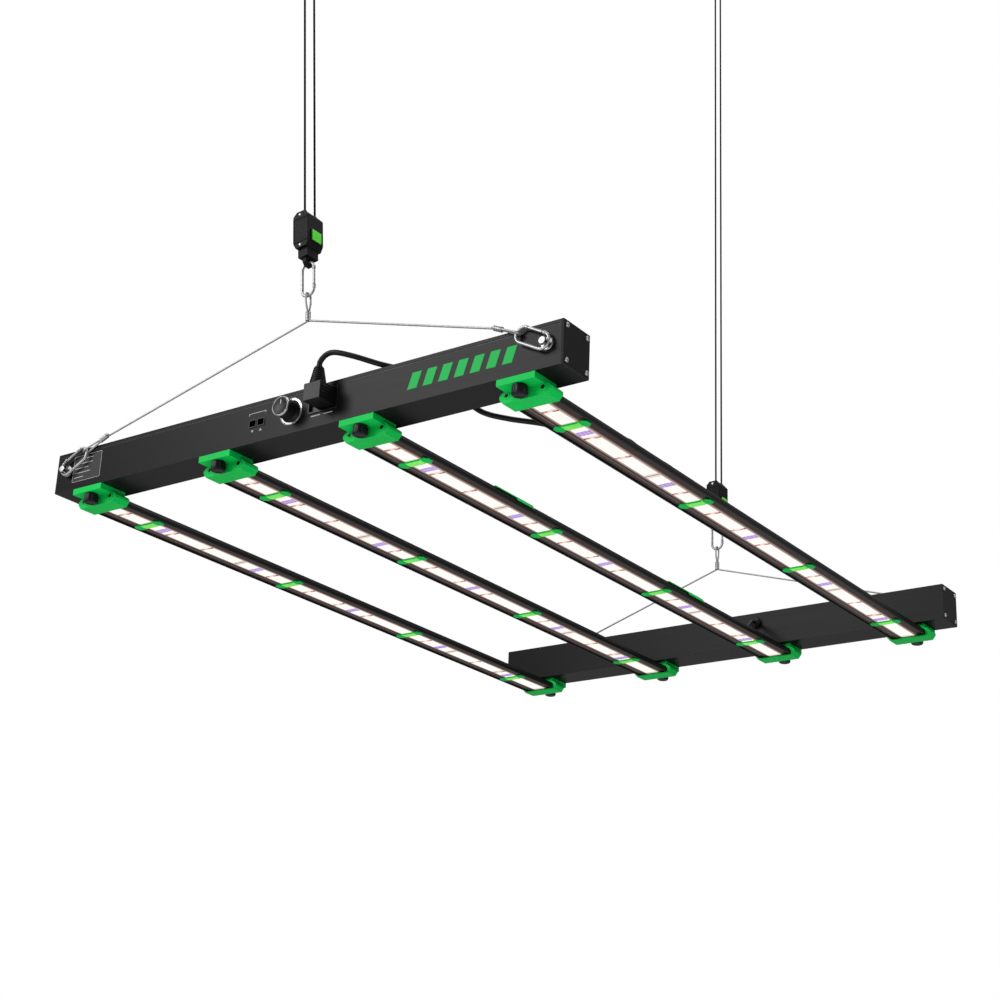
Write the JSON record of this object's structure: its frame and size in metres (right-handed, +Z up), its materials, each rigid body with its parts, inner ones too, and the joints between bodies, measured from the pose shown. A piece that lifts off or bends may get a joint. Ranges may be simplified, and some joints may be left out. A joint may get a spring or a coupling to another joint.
{
  "type": "led grow light",
  "caption": "Hanging LED grow light: flat light bars in green brackets under a pair of black rails, with a dimmer, power inlet and control sockets, on cable hangers and rope ratchets",
  "frame": {"origin": "on the ceiling, above the middle of the frame", "axes": "+X along the rails, towards the power inlet's side; +Y from the near rail, which carries the controls, to the far rail; +Z up"},
  "size_m": [0.8428, 1.1855, 1.4225],
  "materials": {
    "rail_black": "satin black anodised extrusion",
    "cap_black": "satin black paint",
    "bar_black": "satin black anodised extrusion",
    "led_board": "grey solder mask on a metal-core board",
    "green_plastic": "bright green moulded nylon",
    "knob_black": "moulded black plastic",
    "socket_black": "moulded black plastic",
    "cord_rubber": "matt black PVC",
    "driver_casing": "plain folded casing",
    "zinc_steel": "zinc plated",
    "steel_cable": "stranded galvanised cable",
    "ratchet_black": "textured black nylon",
    "rope_black": "black braided polypropylene"
  },
  "bodies": {
    "frame": {"near_rail": "rail_black", "far_rail": "rail_black", "near_rail_cap_left": "cap_black", "near_rail_cap_right": "cap_black", "light_bar_1": "bar_black", "light_bar_2": "bar_black", "light_bar_3": "bar_black", "light_bar_4": "bar_black", "led_board_1": "led_board", "led_board_2": "led_board", "led_board_3": "led_board", "led_board_4": "led_board", "bracket_near_1": "green_plastic", "bracket_near_2": "green_plastic", "bracket_near_3": "green_plastic", "bracket_near_4": "green_plastic", "bracket_far_1": "green_plastic", "bracket_far_2": "green_plastic", "bracket_far_3": "green_plastic", "bracket_far_4": "green_plastic", "power_inlet": "socket_black", "led_driver": "driver_casing", "lead_clip_near": "green_plastic", "lead_clip_far": "green_plastic", "link_lead": "cord_rubber", "power_cord": "cord_rubber", "cord_hank": "cord_rubber", "wall_plug": "cord_rubber"},
    "dimmer": {"dimmer_knob": "knob_black"},
    "plug": {"power_plug": "cord_rubber"},
    "thumbscrew_near_1": {"thumbscrew_near_1": "knob_black"},
    "thumbscrew_near_2": {"thumbscrew_near_2": "knob_black"},
    "thumbscrew_near_3": {"thumbscrew_near_3": "knob_black"},
    "thumbscrew_near_4": {"thumbscrew_near_4": "knob_black"},
    "thumbscrew_far_1": {"thumbscrew_far_1": "knob_black"},
    "thumbscrew_far_2": {"thumbscrew_far_2": "knob_black"},
    "thumbscrew_far_3": {"thumbscrew_far_3": "knob_black"},
    "thumbscrew_far_4": {"thumbscrew_far_4": "knob_black"},
    "hanger_near": {"hanger_cable_near": "steel_cable", "rail_hook_near_left": "zinc_steel", "rail_hook_near_right": "zinc_steel", "top_hook_near": "zinc_steel", "ratchet_near": "ratchet_black", "rope_near": "rope_black", "ceiling_hook_near": "zinc_steel"},
    "rail_hook_gate_near_left": {"rail_hook_gate_near_left": "zinc_steel"},
    "rail_hook_gate_near_right": {"rail_hook_gate_near_right": "zinc_steel"},
    "top_hook_gate_near": {"top_hook_gate_near": "zinc_steel"},
    "ratchet_button_near": {"ratchet_button_near": "green_plastic"},
    "hanger_far": {"hanger_cable_far": "steel_cable", "rail_hook_far_left": "zinc_steel", "rail_hook_far_right": "zinc_steel", "top_hook_far": "zinc_steel", "ratchet_far": "ratchet_black", "rope_far": "rope_black", "ceiling_hook_far": "zinc_steel"},
    "rail_hook_gate_far_left": {"rail_hook_gate_far_left": "zinc_steel"},
    "rail_hook_gate_far_right": {"rail_hook_gate_far_right": "zinc_steel"},
    "top_hook_gate_far": {"top_hook_gate_far": "zinc_steel"},
    "ratchet_button_far": {"ratchet_button_far": "green_plastic"}
  },
  "joints": [
    {"name": "dimmer_turn", "type": "hinge", "parent": "frame", "child": "dimmer", "pos_m": [0.01, -0.572, -1.37], "axis": [0, 1, 0], "range_deg": [-150, 150]},
    {"name": "plug_pull", "type": "slide", "parent": "frame", "child": "plug", "axis": [0, -1, 0], "range_m": [0, 0.024]},
    {"name": "thumbscrew_near_1_turn", "type": "hinge", "parent": "frame", "child": "thumbscrew_near_1", "pos_m": [-0.355, -0.5624, -1.4], "axis": [0, 0, 1], "range_deg": [0, 720]},
    {"name": "thumbscrew_near_2_turn", "type": "hinge", "parent": "frame", "child": "thumbscrew_near_2", "pos_m": [-0.1183, -0.5624, -1.4], "axis": [0, 0, 1], "range_deg": [0, 720]},
    {"name": "thumbscrew_near_3_turn", "type": "hinge", "parent": "frame", "child": "thumbscrew_near_3", "pos_m": [0.1183, -0.5624, -1.4], "axis": [0, 0, 1], "range_deg": [0, 720]},
    {"name": "thumbscrew_near_4_turn", "type": "hinge", "parent": "frame", "child": "thumbscrew_near_4", "pos_m": [0.355, -0.5624, -1.4], "axis": [0, 0, 1], "range_deg": [0, 720]},
    {"name": "thumbscrew_far_1_turn", "type": "hinge", "parent": "frame", "child": "thumbscrew_far_1", "pos_m": [-0.355, 0.5624, -1.4], "axis": [0, 0, 1], "range_deg": [0, 720]},
    {"name": "thumbscrew_far_2_turn", "type": "hinge", "parent": "frame", "child": "thumbscrew_far_2", "pos_m": [-0.1183, 0.5624, -1.4], "axis": [0, 0, 1], "range_deg": [0, 720]},
    {"name": "thumbscrew_far_3_turn", "type": "hinge", "parent": "frame", "child": "thumbscrew_far_3", "pos_m": [0.1183, 0.5624, -1.4], "axis": [0, 0, 1], "range_deg": [0, 720]},
    {"name": "thumbscrew_far_4_turn", "type": "hinge", "parent": "frame", "child": "thumbscrew_far_4", "pos_m": [0.355, 0.5624, -1.4], "axis": [0, 0, 1], "range_deg": [0, 720]},
    {"name": "hanger_near_swing", "type": "hinge", "parent": "frame", "child": "hanger_near", "pos_m": [0, -0.578, -1.3706], "axis": [1, 0, 0], "range_deg": [0, 12]},
    {"name": "rail_hook_gate_near_left_open", "type": "hinge", "parent": "hanger_near", "child": "rail_hook_gate_near_left", "pos_m": [-0.39514, -0.578, -1.35759], "axis": [0, 1, 0], "range_deg": [0, 25], "stiffness_Nm_per_rad": 0.05},
    {"name": "rail_hook_gate_near_right_open", "type": "hinge", "parent": "hanger_near", "child": "rail_hook_gate_near_right", "pos_m": [0.39514, -0.578, -1.35759], "axis": [0, -1, 0], "range_deg": [0, 25], "stiffness_Nm_per_rad": 0.05},
    {"name": "top_hook_gate_near_open", "type": "hinge", "parent": "hanger_near", "child": "top_hook_gate_near", "pos_m": [0.00459, -0.5445, -1.17615], "axis": [0, -1, 0], "range_deg": [0, 25], "stiffness_Nm_per_rad": 0.05},
    {"name": "ratchet_button_near_press", "type": "slide", "parent": "hanger_near", "child": "ratchet_button_near", "axis": [-0.9947, 0, -0.1028], "range_m": [0, 0.0025], "stiffness_N_per_m": 300},
    {"name": "hanger_far_swing", "type": "hinge", "parent": "frame", "child": "hanger_far", "pos_m": [0, 0.578, -1.3706], "axis": [-1, 0, 0], "range_deg": [0, 12]},
    {"name": "rail_hook_gate_far_left_open", "type": "hinge", "parent": "hanger_far", "child": "rail_hook_gate_far_left", "pos_m": [-0.39514, 0.578, -1.35759], "axis": [0, 1, 0], "range_deg": [0, 25], "stiffness_Nm_per_rad": 0.05},
    {"name": "rail_hook_gate_far_right_open", "type": "hinge", "parent": "hanger_far", "child": "rail_hook_gate_far_right", "pos_m": [0.39514, 0.578, -1.35759], "axis": [0, -1, 0], "range_deg": [0, 25], "stiffness_Nm_per_rad": 0.05},
    {"name": "top_hook_gate_far_open", "type": "hinge", "parent": "hanger_far", "child": "top_hook_gate_far", "pos_m": [0.01, 0.5445, -1.1909], "axis": [0, -1, 0], "range_deg": [0, 25], "stiffness_Nm_per_rad": 0.05},
    {"name": "ratchet_button_far_press", "type": "slide", "parent": "hanger_far", "child": "ratchet_button_far", "axis": [-1, 0, 0], "range_m": [0, 0.0025], "stiffness_N_per_m": 300}
  ]
}
